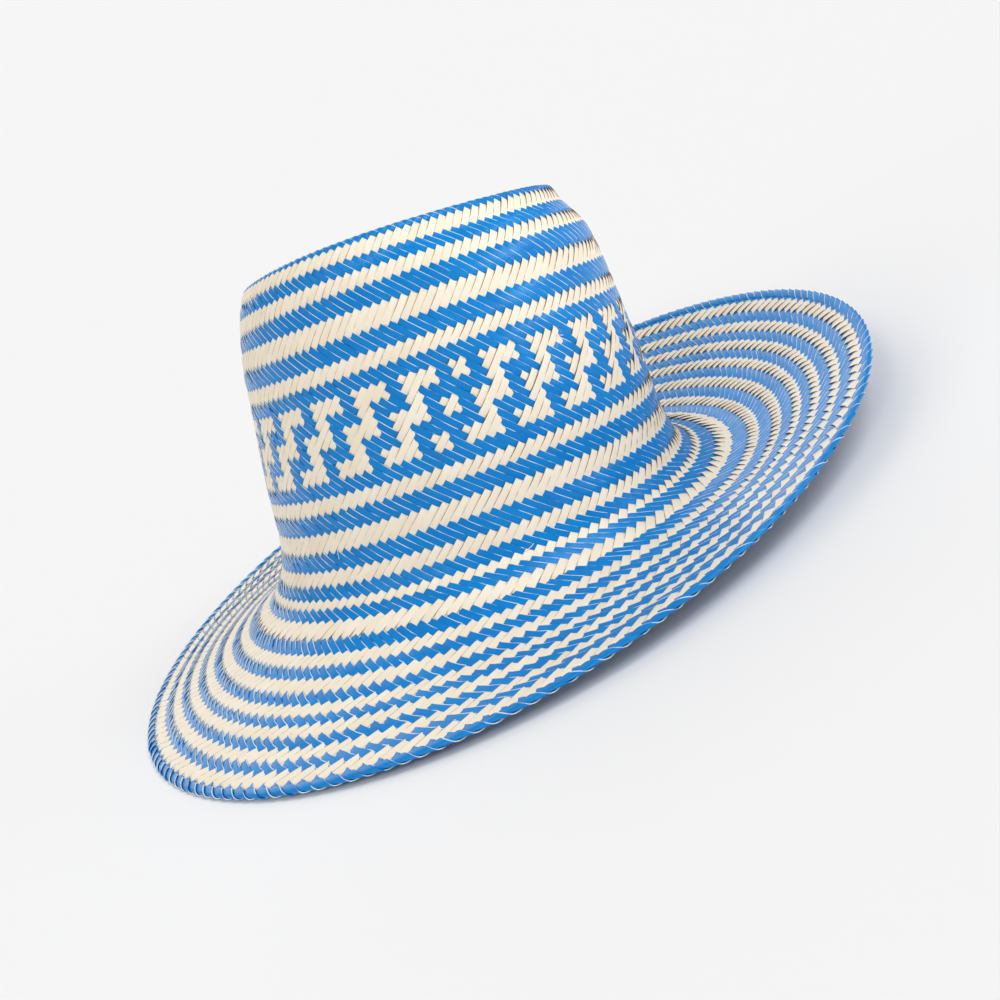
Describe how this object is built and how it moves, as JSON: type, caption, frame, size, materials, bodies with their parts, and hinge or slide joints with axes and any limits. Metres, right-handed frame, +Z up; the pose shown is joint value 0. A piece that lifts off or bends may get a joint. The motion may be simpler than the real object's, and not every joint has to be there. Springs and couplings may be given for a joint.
{
  "type": "woven straw hat",
  "caption": "Woven straw hat with a tall flared crown that leans, a closed flat tip and a wide brim that dips and curls up on one side.",
  "frame": {"origin": "on the resting surface, below the middle of the brim", "axes": "+Z up from the resting surface, +X towards the side where the brim dips and curls up, -Y towards the front of the crown"},
  "size_m": [0.3884, 0.3816, 0.1829],
  "materials": {
    "straw_natural": "satin, fine lengthwise grain",
    "straw_blue": "satin, dyed, with pale undyed edges"
  },
  "bodies": {
    "root": {"crown": "straw_natural", "brim": "straw_natural", "rim_edge": "straw_blue"}
  },
  "joints": []
}
